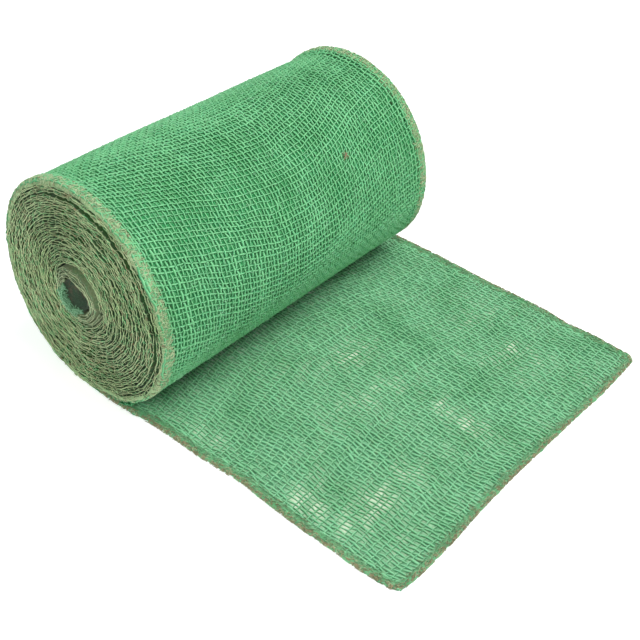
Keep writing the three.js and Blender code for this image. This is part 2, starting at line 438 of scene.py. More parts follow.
leaf, straw, rust, olive = (0.06, 0.36, 0.12), (0.5, 0.44, 0.26), (0.25, 0.1, 0.055), (0.22, 0.26, 0.1)
finishes = {
    "outerYarn": finish((0.33, 0.8, 0.41), (0.105, 0.47, 0.185), (0.006, 0.17, 0.045),
                        straw, 0.1, (0.07, 0.47, 0.24), 0.4, 0.75, patches=0.4, sheen=0.0, shine=0.3),
    "looseYarn": finish((0.38, 0.82, 0.47), (0.15, 0.53, 0.24), (0.015, 0.2, 0.07),
                        straw, 0.25, (0.1, 0.5, 0.26), 0.35, 0.6, patches=0.6),
    # the loose end's warps: a darker copy of the loose yarn, with more painted shade on their sides and
    # undersides
    "looseWarpPaintedShade": finish((0.35, 0.79, 0.44), (0.13, 0.5, 0.22), (0.006, 0.14, 0.04),
                        straw, 0.25, (0.09, 0.48, 0.24), 0.4, 0.88, patches=0.6),
    "hair": finish((0.5, 0.88, 0.58), (0.3, 0.7, 0.4), (0.1, 0.4, 0.18),
                   straw, 0.15, (0.2, 0.62, 0.34), 0.3, 0.3, 0.2, 0.0),
    "fluff": finish((0.36, 0.70, 0.42), (0.19, 0.54, 0.27), (0.09, 0.36, 0.15),
                    (0.62, 0.56, 0.4), 0.4, (0.16, 0.55, 0.3), 0.4, 0.0, 0.3, 0.0),
    "innerCloth": finish((0.24, 0.72, 0.33), (0.11, 0.52, 0.2), (0.02, 0.29, 0.085),
                         olive, 0.1, leaf, 0.25, 0.0, 1.0, 0.0, shine=0.15),
    "hemCloth": finish((0.27, 0.62, 0.32), (0.11, 0.42, 0.17), (0.015, 0.15, 0.045),
                       olive, 0.3, leaf, 0.5, 0.0),
    "rollHemCloth": finish((0.48, 0.62, 0.34), (0.27, 0.45, 0.2), (0.05, 0.16, 0.06),
                           olive, 0.3, leaf, 0.3, 0.0, shine=0.3),
    "paleThread": finish((0.68, 0.8, 0.48), (0.43, 0.6, 0.31), (0.1, 0.22, 0.08),
                         (0.5, 0.36, 0.24), 0.2, (0.26, 0.62, 0.3), 0.4, 0.75, shine=0.3),
    "brownThread": finish((0.52, 0.47, 0.27), (0.27, 0.25, 0.115), (0.03, 0.045, 0.015),
                          rust, 0.3, (0.2, 0.38, 0.15), 0.3, 0.85, shine=0.3),
    "greenThread": finish((0.34, 0.7, 0.38), (0.14, 0.47, 0.19), (0.02, 0.13, 0.04),
                          olive, 0.25, (0.36, 0.46, 0.22), 0.35, 0.8),
    # near black: painted shade in the deep crevices between the wound edges' threads, also on the inner
    # turns' end faces
    "endRibbon": finish((0.05, 0.13, 0.035), (0.02, 0.065, 0.016), (0.002, 0.012, 0.003),
                        (0.08, 0.035, 0.02), 0.3, (0.015, 0.09, 0.03), 0.3, 0.0, patches=0.5, shine=0.03),
    "endThread": finish((0.86, 1.0, 0.58), (0.35, 0.56, 0.23), (0.004, 0.035, 0.004),
                        (0.36, 0.07, 0.035), 0.95, (0.05, 0.62, 0.2), 0.95, 0.98, patches=0.6, shine=0.2),
    "collarCloth": finish((0.3, 0.36, 0.2), (0.12, 0.18, 0.08), (0.01, 0.04, 0.01),
                          olive, 0.3, (0.05, 0.22, 0.08), 0.3, 0.0, shine=0.05),
    "collarThread": finish((0.78, 0.88, 0.54), (0.34, 0.5, 0.23), (0.01, 0.05, 0.01),
                           (0.4, 0.2, 0.13), 0.6, (0.1, 0.52, 0.22), 0.8, 0.94, patches=0.4, shine=0.2),
    "flapThread": finish((0.42, 0.76, 0.47), (0.2, 0.54, 0.27), (0.02, 0.17, 0.05),
                         straw, 0.2, (0.1, 0.5, 0.25), 0.3, 0.8, shine=0.3),
    "knotFibre": finish((0.55, 0.36, 0.24), (0.34, 0.2, 0.13), (0.12, 0.09, 0.05),
                        rust, 0.2, olive, 0.3, 0.4, 0.3, 0.0),
    # the same cloth inside the hollow, darkened as painted shade
    "hollowClothPaintedShade": finish((0.12, 0.19, 0.11), (0.05, 0.1, 0.055), (0.012, 0.03, 0.014),
                          (0.2, 0.15, 0.1), 0.5, (0.05, 0.16, 0.08), 0.3, 0.0),
}
fibreGroup = juteFibreGroup()
materials = {key: yarnMaterial(key, fibreGroup, spec) for key, spec in finishes.items()}

# The drawn weave of the turns below the outer one, with painted shade in its gaps
innerWeave = {"gap": (0.045, 0.37, 0.12), "pitchU": 2.06, "pitchV": 2.9, "relief": 2.5}


def addWeave(material):
    # the gaps between drawn yarns are lower, and painted darker as painted shade
    tree = material.node_tree
    colour, height = tree.nodes["Principled BSDF"].inputs["Base Color"], tree.nodes["Bump"].inputs["Height"]
    layer = newNode(tree, "Group", {}, node_tree=wovenLayerGroup())
    feed(tree, newNode(tree, "TexCoord", {}).outputs["UV"], layer.inputs["UV"])
    feed(tree, innerWeave["pitchU"], layer.inputs["Pitch U"])
    feed(tree, innerWeave["pitchV"], layer.inputs["Pitch V"])
    plain, fine = colour.links[0].from_socket, height.links[0].from_socket
    # painted shade: the gap colour wherever the mask finds no yarn
    feed(tree, mixColour(tree, layer.outputs["Mask"], (*innerWeave["gap"], 1), plain), colour)
    feed(tree, mathNode(tree, "MULTIPLY_ADD", layer.outputs["Height"], innerWeave["relief"], fine), height)


addWeave(materials["innerCloth"])
print("materials made")

# Open plain weave
weave = {
    "warpPitch": 2.06,  # between the yarns that run along the strip
    "rollWeftPitch": 2.9,
    "looseWeftPitch": 3.42,
    "hemWarps": 4,
    "hemPitch": 1.25,
    "rollYarns": (1.35, 1.15),  # width of warp and weft on the roll
    "looseYarns": (1.7, 1.05),
    "yarnHeight": 1.0,
    "crimp": 0.38,  # how far a yarn rises over the one that it crosses
    "squeeze": 0.12,
    "uneven": 0.13,
    "slub": 0.2,
    "wander": 0.42,
    "warpJitter": 0.07,
    "weftJitter": 0.12,
    "crossingJitter": 0.08,
}


def warpPlaces(left, right):
    # even across the strip, closer in the hems
    hem = weave["hemWarps"] * weave["hemPitch"]
    count = round((right - left - 2 * hem) / weave["warpPitch"])
    close = np.arange(weave["hemWarps"]) * weave["hemPitch"]
    return np.concatenate([left + close, np.linspace(left + hem, right - hem, count), right - close[::-1]])


def crossings(warpX, weftS, seed, looseness=1.0):
    # where warp i meets weft k, with the weft's bow and the small wandering of loose yarns
    x, s = np.meshgrid(warpX, weftS, indexing="ij")
    rng = np.random.default_rng(seed)
    wander = weave["wander"] * looseness
    dx = wander * softNoise(x, s, 26, seed + 1) + 0.5 * wander * softNoise(x * 3, s, 14, seed + 2)
    dx = dx + rng.normal(0, weave["warpJitter"] * looseness, x.shape)
    ds = wander * softNoise(x, s, 30, seed + 3) + 0.5 * wander * softNoise(x, s * 3, 18, seed + 4)
    ds = ds + rng.normal(0, weave["weftJitter"] * looseness, (1, x.shape[1]))
    ds = ds + rng.normal(0, weave["crossingJitter"] * looseness, x.shape)
    return x + dx, s + (bowAhead(x) - weftBow["middle"]) + ds


def halfSteps(a, axis):
    # the crossings with a point half way between each two of them
    a = np.moveaxis(a, axis, 1)
    middle = (a[:, 1:] + a[:, :-1]) / 2
    out = np.empty((a.shape[0], a.shape[1] * 2 - 1) + a.shape[2:])
    out[:, ::2], out[:, 1::2] = a, middle
    return out


def weaveNet(x, s, surface, seed, yarns, fullness):
    # x and s are (warps, wefts); surface gives a point and a normal for x and s
    over = np.where(np.add.outer(np.arange(x.shape[0]), np.arange(x.shape[1])) % 2 == 0, 1.0, -1.0)
    rng = np.random.default_rng(seed)
    parts = []
    for axis, sign, base in ((1, 1, yarns[0]), (0, -1, yarns[1])):
        xs, ss = halfSteps(x, axis), halfSteps(s, axis)
        rise = halfSteps(over * sign, axis) * weave["crimp"]
        point, normal = surface(xs, ss)
        yarnSize = 1 + rng.normal(0, weave["uneven"], (xs.shape[0], 1))
        slub = 1 + weave["slub"] * softNoise(xs * 1.7 + 31 * axis, ss * 1.7, 12, seed + 9 + axis)
        size = np.clip(yarnSize * slub, 0.62, 1.5)
        squeeze = 1 + weave["squeeze"] * np.abs(rise) / weave["crimp"]
        parts.append(tubes(point + normal * rise[..., None], normal, base * size * fullness(xs, ss) * squeeze,
                           weave["yarnHeight"] * size ** 0.5, seed + axis))
    return joinParts(parts)


# The outer turn of netting, in three lengths that follow one another round the roll
outerTurn = {"parts": 3, "overlap": 14, "depth": 0.75, "edge": 0.5}


def rollFullness(x, s):
    return 1 + 0.1 * softNoise(x, s, 60, 77)


warpX = warpPlaces(faces[-1] + outerTurn["edge"], faces[1] - outerTurn["edge"])
overlap = outerTurn["overlap"]
weftS = np.arange(-overlap, rollShape["turnLength"] + overlap, weave["rollWeftPitch"])
rollX, rollS = crossings(warpX, weftS, 11)
cuts = np.linspace(0, len(weftS) - 1, outerTurn["parts"] + 1).astype(int)
for part in range(outerTurn["parts"]):
    a, b = cuts[part], cuts[part + 1] + 1
    mesh = weaveNet(rollX[:, a:b], rollS[:, a:b], partial(rollSurface, inset=outerTurn["depth"]), 100 + part,
                    weave["rollYarns"], rollFullness)
    netting = addPiece(f"outerNetting{part + 1}", mesh, "wound_roll", "outerYarn")
print("outer turn made")

# The turn below it, seen between the yarns, and the faces under the wound edges
innerRoll = {"depth": 1.25, "faceDepth": 5.2, "around": 180, "along": 70, "faceRings": [0.75, 0.4, 0.04]}


def innerRollBody():
    inset = innerRoll["faceDepth"]
    xs = np.linspace(faces[-1] + inset, faces[1] - inset, innerRoll["along"])
    s = np.linspace(0, rollShape["turnLength"], innerRoll["around"], endpoint=False)
    point, _ = rollSurface(*np.meshgrid(xs, s, indexing="ij"), innerRoll["depth"])
    hollow = np.stack(hollowLoop(windAngle(s / rollShape["turnLength"])), -1)
    rings = list(point)
    for rim, shares in ((point[-1], innerRoll["faceRings"]), (point[0], innerRoll["faceRings"][::-1])):
        for share in shares:
            rings.append(np.concatenate([rim[:, :1], hollow + (rim[:, 1:] - hollow) * share], 1))
    along = np.concatenate([xs, np.repeat(xs[[-1, 0]], 3), xs[:1]])
    u, v = np.meshgrid(along, np.append(s, rollShape["turnLength"]) * 1.04, indexing="ij")
    return gridMesh(np.stack(rings), u, v - bowAhead(along)[:, None], "turned")


innerMesh = innerRollBody()
isFace = np.arange(len(innerMesh[1])) // innerRoll["around"] >= innerRoll["along"] - 1
# the end faces under the wound edges take the painted shade of the end ribbon
innerBody = addPiece("innerTurns", innerMesh, "wound_roll", "innerCloth", "endRibbon", isFace)
print("inner turns made")

# The wound edges that show as rings on both end faces
endTurns = {
    "turns": 19.4,
    "core": 8.0,  # radius of the innermost turn
    "thick": 48.0,
    "pitch": 2.5,
    "step": 1.3,
    "threadStep": 1.05,
    "threadWidth": 0.46,
    "wrapPitch": 5.0,
    "wrapWidth": 0.32,
    "lanes": {-1: (-0.62, -0.26, 0.46), 1: (-0.5, 0.45)},
    "deep": 8.4,
    "fill": 0.9,
    "outerTurns": 0.98,
    "collarTurns": 2.6,
    "collarFrom": 0.93,  # share of the cloth's length from which its turns stand apart
    "collarFill": 0.78,
    "crest": 0.3,
    "wiggle": 0.25,
    # ring radius in mm, how far it stands out on the firm side and on the loosened side
    "ring": [9.6, 13.4, 14.6, 17.0, 18.4, 31.0, 44.5, 48.6, 50.4, 51.8, 53.4, 57],
    "firm": [1.6, 1.4, 0.4, 0.3, 0.4, 0.1, 0.2, 0.1, 0.0, 0.1, 0.1, 0.0],
    "loose": [1.8, 1.2, -1.4, -1.0, 0.6, 0.5, -0.2, 0.5, -0.8, -0.4, 0.4, 0.0],
    "gapAt": [15.4, 49.4, 52.6],
    "gapWide": [1.0, 0.45, 0.4],
    "gapReach": [4.0, 2.6, 2.4],
    "looseMiddle": 130,
    "looseHalf": 95,
    "looseShare": {-1: 1.0, 1: 0.6},
}


def looseSide(angle):
    away = np.abs((np.degrees(angle) - endTurns["looseMiddle"] + 540) % 360 - 180)
    return smooth((endTurns["looseHalf"] - away) / 30)


def endSpiral(side, seed):
    # the middle line of the wound edge, as a function of the way along it and the offset across it
    faceX, rim, turns = faces[side], rollRadius(faces[side]), endTurns["turns"]
    fine = np.linspace(0, turns, 6000)
    meanR = endTurns["core"] + endTurns["thick"] * (1 - (fine + 0.5) / turns)
    length = runningSum(np.pi * (meanR[1:] + meanR[:-1]) * np.diff(fine))

    def at(l, across, axial):
        tau = np.interp(l, length, fine)
        angle = windAngle(tau)
        hy, hz = hollowLoop(angle)
        radius = rim + rollWave(faceX, angle)
        outY = rollShape["axisY"] + radius * rollShape["wide"] * np.cos(angle) - hy
        outZ = (rim + radius * np.sin(angle)) * rollShape["tall"] - rollShape["flatDepth"] - hz
        norm = np.hypot(outY, outZ)
        outY, outZ = outY / norm, outZ / norm
        t = (turns - tau) / turns * (1 - 1 / turns) + 0.45 / turns
        ringR = endTurns["core"] + endTurns["thick"] * t
        loosened = looseSide(angle) * endTurns["looseShare"][side]
        push = 0
        for gapAt, wide, reach in zip(endTurns["gapAt"], endTurns["gapWide"], endTurns["gapReach"]):
            near = np.exp(-((ringR - gapAt) / reach) ** 2)
            push = push + np.sign(ringR - gapAt) * wide / 2 * near * loosened
        offset = t * norm + push + across * endTurns["pitch"] / 2
        y, z = hy + outY * offset, hz + outZ * offset
        wiggle = endTurns["wiggle"] * (softNoise(y, z, 12, seed) + 0.55 * softNoise(l, tau * 3, 9, seed + 1))
        wiggle = wiggle * np.where(tau < 0.6, 0.4, 1.0)  # the outer turn lies truer
        y, z = y + outY * wiggle, z + outZ * wiggle
        firm, slack = (np.interp(ringR, endTurns["ring"], endTurns[key]) for key in ("firm", "loose"))
        out = firm + (slack - firm) * loosened + endTurns["crest"] * softNoise(y, z, 16, seed + 2)
        out = out + 0.3 * softNoise(l, tau, 3.1, seed + 3) + axial
        point = np.stack([faceX + side * out, y, np.maximum(z, 0.6)], -1)
        return point, np.stack([0 * outY + side, outY, outZ], -1)

    return at, length, fine


def endRibbon(at, total, side, seed):
    # the cloth's own edge, a deep narrow ribbon
    l = np.arange(0, total, endTurns["step"])
    fill = endTurns["fill"] * (1 + 0.16 * softNoise(l, 0 * l, 7, seed + 5))
    fill = np.where(l > endTurns["collarFrom"] * total, endTurns["collarFill"] * fill, fill)
    profile = ((-0.9, -endTurns["deep"]), (-0.9, -1.3), (0.0, -0.35), (0.9, -1.3), (0.9, -endTurns["deep"]))
    rows = np.stack([at(l, across * fill, axial)[0] for across, axial in profile], 1)
    rows[..., 2] = np.maximum(rows[..., 2], 0.05)
    u, v = np.meshgrid(l, np.linspace(0, 3, len(profile)), indexing="ij")
    return gridMesh(rows, u, v, "in" if side > 0 else "out")


def endThreads(at, start, end, side, seed):
    # threads that run along the wound edge, and overlock threads that wrap across it
    rng = np.random.default_rng(seed)
    parts = []
    l = np.arange(start, end, endTurns["threadStep"])
    for lane in endTurns["lanes"][side]:
        sway = 0.13 * softNoise(l, 50 * lane, 14, seed + 11) + 0.05 * softNoise(l, 9 * lane, 3.4, seed + 12)
        lift = 0.2 * softNoise(l, -30 * lane, 3.6, seed + 13) + 0.42 * softNoise(l, 20 * lane, 18, seed + 15)
        point, out = at(l, lane + sway, lift)
        width = endTurns["threadWidth"] * np.clip(1 + 0.42 * softNoise(l, 9 * lane, 8, seed + 14), 0.4, 1.7)
        parts.append(tubes(point[None], (out * (1, 0, 0))[None], width, 0.9 * width, seed + int(lane * 9)))
    base = np.arange(start + 2, end - 3, endTurns["wrapPitch"])[:, None]
    base = base + rng.normal(0, 0.35, base.shape)
    way = np.linspace(-1, 1, 5)[None]
    slant = rng.choice([-1.0, 1.0], base.shape, p=[0.3, 0.7]) * rng.uniform(0.3, 1.1, base.shape)
    point, out = at(base + slant * way, 0.95 * way + rng.normal(0, 0.1, base.shape), 0.35 - 0.75 * way ** 4)
    parts.append(tubes(point, out * (1, 0, 0), endTurns["wrapWidth"], 0.45, seed + 40))
    return joinParts(parts)


for side, name, seed in ((-1, "leftEnd", 300), (1, "rightEnd", 400)):
    at, length, fine = endSpiral(side, seed)
    total = length[-1]
    outer, collar = np.interp([endTurns["outerTurns"], endTurns["turns"] - endTurns["collarTurns"]],
                              fine, length)
    ribbon = endRibbon(at, total, side, seed)
    isCollar = np.arange(len(ribbon[1])) // (ribbon[0].shape[1] - 1) * endTurns["step"] > collar
    # the ribbon between the threads is painted shade, apart from the collar
    addPiece(name + "Turns", ribbon, "wound_roll", "endRibbon", "collarCloth", isCollar)
    for part, start, end, thread in (("Outer", 0, outer, "endThread"), ("Middle", outer, collar, "endThread"),
                                     ("Collar", collar, total, "collarThread")):
        addPiece(name + part + "Threads", endThreads(at, start, end, side, seed + 20), "wound_roll", thread)
print("wound edges made")

# The cloth's inner end, frayed, shows at the lower back edge of the hollow's left mouth
flap = {"threads": 190, "from": -112.0, "to": 12.0, "reach": 3.6, "width": 0.5}


def innerFlap(seed):
    rng = np.random.default_rng(seed)
    one = (flap["threads"], 1)
    start = rng.uniform(flap["from"], flap["to"], one)
    way = np.linspace(-0.5, 0.5, 5)[None]
    length = flap["reach"] * rng.uniform(0.5, 1.6, one)
    angle = np.radians(start) + way * length / 10.5 * np.sign(rng.normal(0, 1, one))
    edge = np.clip(np.minimum(start - flap["from"], flap["to"] - start) / 25, 0, 1)
    out = -0.2 + edge * rng.uniform(0, 1.9, one) + way * rng.normal(0, 1.6, one)
    out = out + 0.5 * np.sin(way * rng.uniform(6, 14, one) + start)
    hy, hz = hollowLoop(angle)
    proud = edge * rng.uniform(0.2, 3.0, one) + 0.7 * np.sin(way * rng.uniform(5, 13, one) + 2 * start)
    point = np.stack([faces[-1] - 1.0 - proud, hy + out * np.cos(angle), hz + out * np.sin(angle)], -1)
    normal = np.broadcast_to((-1.0, 0.0, 0.0), point.shape)
    return tubes(point, normal, flap["width"] * rng.uniform(0.7, 1.3, one), 0.5, seed)


addPiece("innerFlap", innerFlap(350), "wound_roll", "flapThread")

hollowWall = {"around": 72, "along": 80, "proud": 0.6}


def hollowWallMesh():
    angle = np.linspace(0, 2 * np.pi, hollowWall["around"], endpoint=False)
    x = np.linspace(faces[-1] - hollowWall["proud"], faces[1] + hollowWall["proud"], hollowWall["along"])
    gx, ga = np.meshgrid(x, angle, indexing="ij")
    y, z = hollowLoop(ga)
    ripple = 0.35 * softNoise(gx, ga * 8, 7, 21)
    ripple = ripple + 0.2 * np.sin(gx * 2 * np.pi / weave["warpPitch"]) * np.sin(ga * 17)
    wall = np.stack([gx, y + ripple * np.cos(ga), z + ripple * np.sin(ga)], -1)
    u, v = np.meshgrid(x, np.append(angle, 2 * np.pi), indexing="ij")
    return gridMesh(wall, u, v, "in")


# the hollow's wall carries painted shade
addPiece("hollowWall", hollowWallMesh(), "wound_roll", "hollowClothPaintedShade")

# Hems: doubled edges with short threads. For each sort of thread, how many to a mm, in which lanes
# from the edge inwards, how long, how it lies to the edge in degrees, how thick
hemBand = {
    "step": 1.1,
    "rollPale": {"perMm": 2.6, "lanes": [0.3, 1.0, 1.8, 2.6, 3.4, 4.2], "length": 2.2, "turn": 70,
                 "width": 0.46},
    "rollGreen": {"perMm": 0.5, "lanes": [1.2, 2.6, 3.8, 4.8], "length": 2.0, "turn": 30, "width": 0.46},
    "rollBrown": {"perMm": 0.35, "lanes": [-0.2, 0.1, 0.5, 4.4], "length": 1.1, "turn": 50, "width": 0.46},
    "brownerOnRight": 2.4,
    "looseBrown": {"perMm": 2.7, "lanes": [-0.3, -0.1, 0.2, 0.6, 1.2, 2.6], "length": 1.8, "turn": 60,
                   "width": 0.44},
    "looseGreen": {"perMm": 2.0, "lanes": [1.7, 2.6, 3.6, 4.6, 5.8, 7.0], "length": 2.3, "turn": 25,
                   "width": 0.46},
    "loosePale": {"perMm": 0.5, "lanes": [0.2, 0.8, 1.8, 3.2], "length": 2.0, "turn": 45, "width": 0.4},
    "wide": [0.64, 0.54, 0.52],  # share of the full width on the left, the cut and the right
    # on the roll: distance in from the end face, and how far below the roll's outside
    "rollProfile": [(5.6, 1.6), (4.9, 0.8), (3.8, 0.55), (2.6, 0.6), (1.4, 0.5), (0.4, 0.7), (0.0, 1.2),
                    (-0.1, 2.2), (0.4, 2.9)],
    # on the loose end: distance in from the edge, and height above the floor
    "looseProfile": [(0.6, 0.1), (0.1, 0.6), (0.3, 1.2), (1.0, 1.5), (2.4, 1.6), (4.2, 1.5), (5.6, 1.4),
                     (6.2, 1.1), (6.3, 0.5), (3.0, 0.1)],
    "mapScale": 2.2,
}


def hemStrokes(at, total, spec, seed):
    # short curved threads at uneven places along a hem; at gives a point and a normal
    rng = np.random.default_rng(seed)
    one = (int(total * spec["perMm"]), 1)
    l = rng.uniform(1.5, total - 1.5, one)
    d = rng.choice(spec["lanes"], one) + rng.normal(0, 0.35, one)
    turn = np.radians(spec["turn"] + rng.normal(0, 28, one)) * rng.choice([-1, 1], one, p=[0.35, 0.65])
    half = spec["length"] / 2 * rng.uniform(0.6, 1.5, one)
    way = np.linspace(-1, 1, 5)[None]
    bend = rng.normal(0, 0.45, one) * (1 - way ** 2)
    point, normal = at(l + half * (way * np.cos(turn) - bend * np.sin(turn)),
                       d + half * (way * np.sin(turn) + bend * np.cos(turn)),
                       0.28 * (1 - way ** 2) + rng.uniform(-0.15, 0.15, one))
    width = spec["width"] * rng.uniform(0.75, 1.3, one)
    return tubes(point, normal, width, 0.9 * width, seed)


def rollHem(side, seed):
    s = np.arange(0, rollShape["turnLength"], hemBand["step"])
    rows = []
    for inward, depth in hemBand["rollProfile"]:
        x = np.full_like(s, faces[side] - side * inward)
        x = x - side * 0.25 * softNoise(s, s * 0 + inward, 11, seed)
        lump = 0.16 * softNoise(s * 2, x * 3, 5, seed + 1)
        rows.append(rollSurface(x, s, depth + lump)[0])
    inwards = np.array(hemBand["rollProfile"])[:, 0]
    u, v = np.meshgrid(s, inwards / hemBand["mapScale"], indexing="ij")
    return gridMesh(np.stack(rows, 1), u, v, "in" if side < 0 else "out")


def rollHemAt(side):
    def at(s, d, lift):
        depth = np.interp(d, [-0.5, 0, 0.8, 4.6, 6.0], [1.7, 0.8, 0.3, 0.35, 0.8])
        return rollSurface(faces[side] - side * np.maximum(d, -0.35), s, depth - lift)

    return at


def addHemThreads(name, at, total, specs, seed, replaced):
    return [addPiece(name + thread + "Thread", hemStrokes(at, total, spec, seed + len(thread)), replaced,
                     thread.lower() + "Thread") for thread, spec in specs.items()]


for side, name, seed in ((-1, "leftHem", 500), (1, "rightHem", 600)):
    addPiece(name + "Band", rollHem(side, seed), "wound_roll", "rollHemCloth")
    specs = {thread: dict(hemBand["roll" + thread]) for thread in ("Pale", "Green", "Brown")}
    if side > 0:
        specs["Brown"]["perMm"] *= hemBand["brownerOnRight"]
    addHemThreads(name, rollHemAt(side), rollShape["turnLength"], specs, seed, "wound_roll")
print("hems of the roll made")

# The loose end's netting
loose = {
    "half": 100,
    "length": 188,
    "depth": 0.75,
    "looseness": 1.5,
    "inset": 1.25,
    "bowFadeFrom": 165.0,
    "bowEase": 0.05,
    # places where it is more open or denser: x, y, half width, half length, how much
    "places": [
        (-70, -152, 20, 8, 1.0), (-88, -132, 8, 9, 0.7), (-76, -122, 12, 6, 0.7), (4, -151, 10, 8, 0.7),
        (5, -76, 15, 9, 0.75), (60, -132, 8, 7, 0.9), (58, -150, 12, 6, 0.5), (-10, -104, 13, 9, 0.5),
        (-44, -150, 10, 7, 0.4), (8, -134, 10, 6, 0.55), (-84, -70, 8, 14, 0.4), (68, -104, 16, 9, 0.35),
        (-76, -176, 14, 5, 0.4), (-36, -98, 10, 10, 0.3), (-50, -125, 14, 8, -0.6),
        (-66, -82, 18, 14, -0.6), (29, -98, 6, 32, -0.5), (20, -150, 6, 14, -0.4),
    ],
}


def looseCrossings():
    across = warpPlaces(-loose["half"] + loose["inset"], loose["half"] - loose["inset"])
    weftY = -np.arange(-looseShape["start"], loose["length"], weave["looseWeftPitch"])
    x, y = crossings(across, weftY, 41, loose["looseness"])
    # near the cut the bow straightens out until the last weft runs along the cut
    plainX, _ = np.meshgrid(across, weftY, indexing="ij")
    straight = (weftY[None] - weftY[-1]) / loose["bowFadeFrom"]
    fade = np.clip(straight - loose["bowEase"], 0, 1)
    cut = cutY(plainX)
    y = y + weftBow["middle"] - bowAhead(plainX) * (1 - fade) + (cut - cut.mean()) * (1 - fade)
    y = np.clip(y, cut + 0.7, -1.0)
    left, right = selvageX(y)
    share = plainX / (2 * loose["half"])
    return x + (left + loose["half"]) * (0.5 - share) + (right - loose["half"]) * (0.5 + share), y


def looseOpenness(x, y):
    # from 0 where the cloth is dense to 1 where the floor shows most
    total = 0.1 + 0.07 * softNoise(x, y, 34, 88)
    for px, py, wide, far, share in loose["places"]:
        total = total + share * np.exp(-((x - px) / wide) ** 2 - ((y - py) / far) ** 2)
    # only some rows of openings are as open as that
    return np.clip(total * (0.75 + 0.5 * softNoise(x * 0.5, y, 8, 90)), 0, 1)


def looseFullness(x, y):
    return 1.06 - 0.42 * looseOpenness(x, y) + 0.1 * softNoise(x * 1.6, y * 1.6, 9, 91)


looseX, looseY = looseCrossings()
mesh = weaveNet(looseX, looseY, partial(looseSurface, inset=loose["depth"]), 140, weave["looseYarns"],
                looseFullness)
isWeft = mesh[1][:, 0] >= yarnSides * looseX.shape[0] * (2 * looseX.shape[1] - 1)
# the warps take the darker finish with more painted shade
looseNetting = addPiece("looseNetting", mesh, "loose_end", "looseWarpPaintedShade", "looseYarn", isWeft)
print("loose end made")


# Loose fibres that half fill its openings, as one sheet with a streaky alpha
fluff = {
    "depth": 1.05,
    "across": 98,
    "along": 90,
    "cover": 0.86,
    "openCover": 0.36,  # less of it where the cloth is open
    "streaks": 0.22,
    # painted shade in the fluff where the cloth is dense, and painted light where it is open, as of the floor
    # showing through
    "shade": 0.85,
    "openShade": 1.3,
    "paintedOpenLight": 0.85,
    "paintedLightFibre": (0.56, 0.68, 0.43),
    "shadedFibre": (0.02, 0.2, 0.07),
}


def fluffSheet():
    x, y = np.meshgrid(np.linspace(0, 1, fluff["across"]), np.linspace(1, 0, fluff["along"]), indexing="ij")
    y = -4 + y * (cutY(-99 + 198 * x) + 6)
    left, right = selvageX(y)
    x = left + 2 + x * (right - left - 4)
    return gridMesh(looseSurface(x, y, fluff["depth"])[0], x, y, "in"), looseOpenness(x, y).ravel()


def fluffStreaks(material):
    # thin where the cloth is open; painted shade where it is dense, and painted light, paler, where it is
    # open
    tree = material.node_tree
    shader = tree.nodes["Principled BSDF"].inputs
    uv = newNode(tree, "TexCoord", {}).outputs["UV"]
    openness = newNode(tree, "Attribute", {}, attribute_name="open").outputs["Fac"]
    times, timesPlus = partial(mathNode, tree, "MULTIPLY"), partial(mathNode, tree, "MULTIPLY_ADD")
    along, across = (noiseNode(tree, uv, stretch, 3, 0.7) for stretch in ((0.5, 2.6, 0), (2.6, 0.5, 1)))
    streaks = rampNode(tree, mathNode(tree, "MAXIMUM", along, across), 0.46, 0.66)
    cover = timesPlus(openness, -fluff["openCover"], fluff["cover"])
    feed(tree, timesPlus(streaks, fluff["streaks"], cover, True), shader["Alpha"])
    # painted shade where the cloth is dense, in uneven cells
    cells = noiseNode(tree, uv, (0.42, 0.3, 2), 2, 0.6)
    shade = timesPlus(openness, -fluff["openShade"], fluff["shade"], True)
    shade = times(rampNode(tree, cells, 0.38, 0.6), shade)
    plain = shader["Base Color"].links[0].from_socket
    shaded = mixColour(tree, shade, plain, (*fluff["shadedFibre"], 1))
    # painted light: paler fibre where the cloth is open
    paintedOpenLight = mixColour(tree, times(openness, fluff["paintedOpenLight"]), shaded, (*fluff["paintedLightFibre"], 1))
    feed(tree, paintedOpenLight, shader["Base Color"])


fluffMesh, openness = fluffSheet()
looseFluff = addPiece("looseFluff", fluffMesh, "loose_end", "fluff")
shade = looseFluff.data.color_attributes.new("open", "FLOAT_COLOR", "POINT")
shade.data.foreach_set("color", np.stack([openness] * 3 + [np.ones_like(openness)], -1).ravel())
fluffStreaks(materials["fluff"])


# Its hems: one band along the left selvage, the cut and the right selvage
def edgePath(step):
    # even points along the edge, its direction, the way along it and the hem's share of its width
    ys = np.arange(looseShape["start"], cutY(-100) + 3, -step)
    left = np.stack([selvageX(ys)[0], ys], -1)
    xs = np.arange(left[-1, 0] + 3, 97, step)
    cut = np.stack([xs, cutY(xs)], -1)
    ys = np.arange(cutY(100) + 3, looseShape["start"], step)
    right = np.stack([selvageX(ys)[1], ys], -1)
    path = np.concatenate([left, cut, right])
    for _ in range(3):  # soften the corners a little
        path[1:-1] = (path[:-2] + 2 * path[1:-1] + path[2:]) / 4
    length = runningSum(np.linalg.norm(np.diff(path, axis=0), axis=1))
    even = np.arange(0, length[-1], step)
    x, y = np.interp(even, length, path[:, 0]), np.interp(even, length, path[:, 1])
    onCut = smooth((cutY(x) + 9 - y) / 6)
    wideLeft, wideCut, wideRight = hemBand["wide"]
    sides = np.where(x < 0, wideLeft, wideRight)
    path = np.stack([x, y], -1)
    return path, unit(np.gradient(path, axis=0)), even, sides + (wideCut - sides) * onCut


